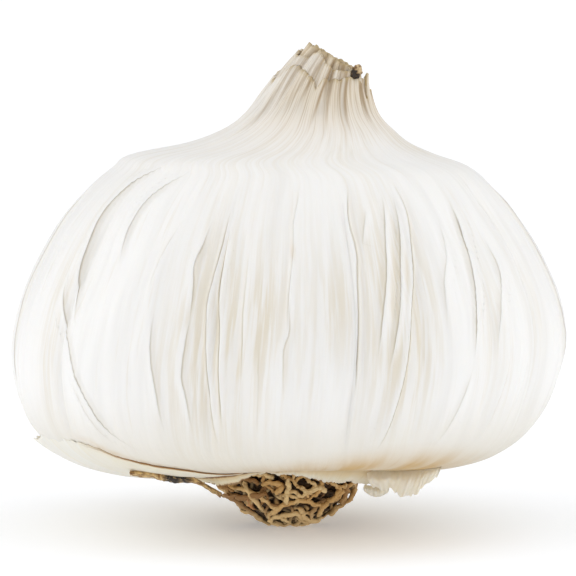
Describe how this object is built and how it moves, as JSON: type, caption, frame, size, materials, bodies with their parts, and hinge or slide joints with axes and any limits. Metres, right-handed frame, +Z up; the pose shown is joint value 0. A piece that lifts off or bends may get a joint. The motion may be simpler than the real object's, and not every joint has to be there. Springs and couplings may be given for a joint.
{
  "type": "garlic bulb",
  "caption": "Whole white garlic bulb with pleated papery skin, a leaning cut neck with torn sheath ends, ragged skin flaps at its base and a bowl of dried curled roots that it stands on.",
  "frame": {"origin": "middle of the small flat spot under the roots, on the surface that the bulb stands on", "axes": "+Z up from the roots to the neck, -Y towards the viewer of the picture, +X to that viewer's right"},
  "size_m": [0.064, 0.0612, 0.0568],
  "materials": {
    "skin": "satin papery skin, near white with beige veins",
    "sheath": "dry wrinkled leaf sheath, beige",
    "roots": "dried roots, golden tan",
    "brown_skin": "torn dry skin, brown"
  },
  "bodies": {
    "root": {"bulb": "skin", "neck_sheaths": "sheath", "root_tuft": "roots", "left_flap": "skin", "left_scrap": "brown_skin", "right_flap": "skin", "front_collar": "skin", "back_collar": "skin"}
  },
  "joints": []
}
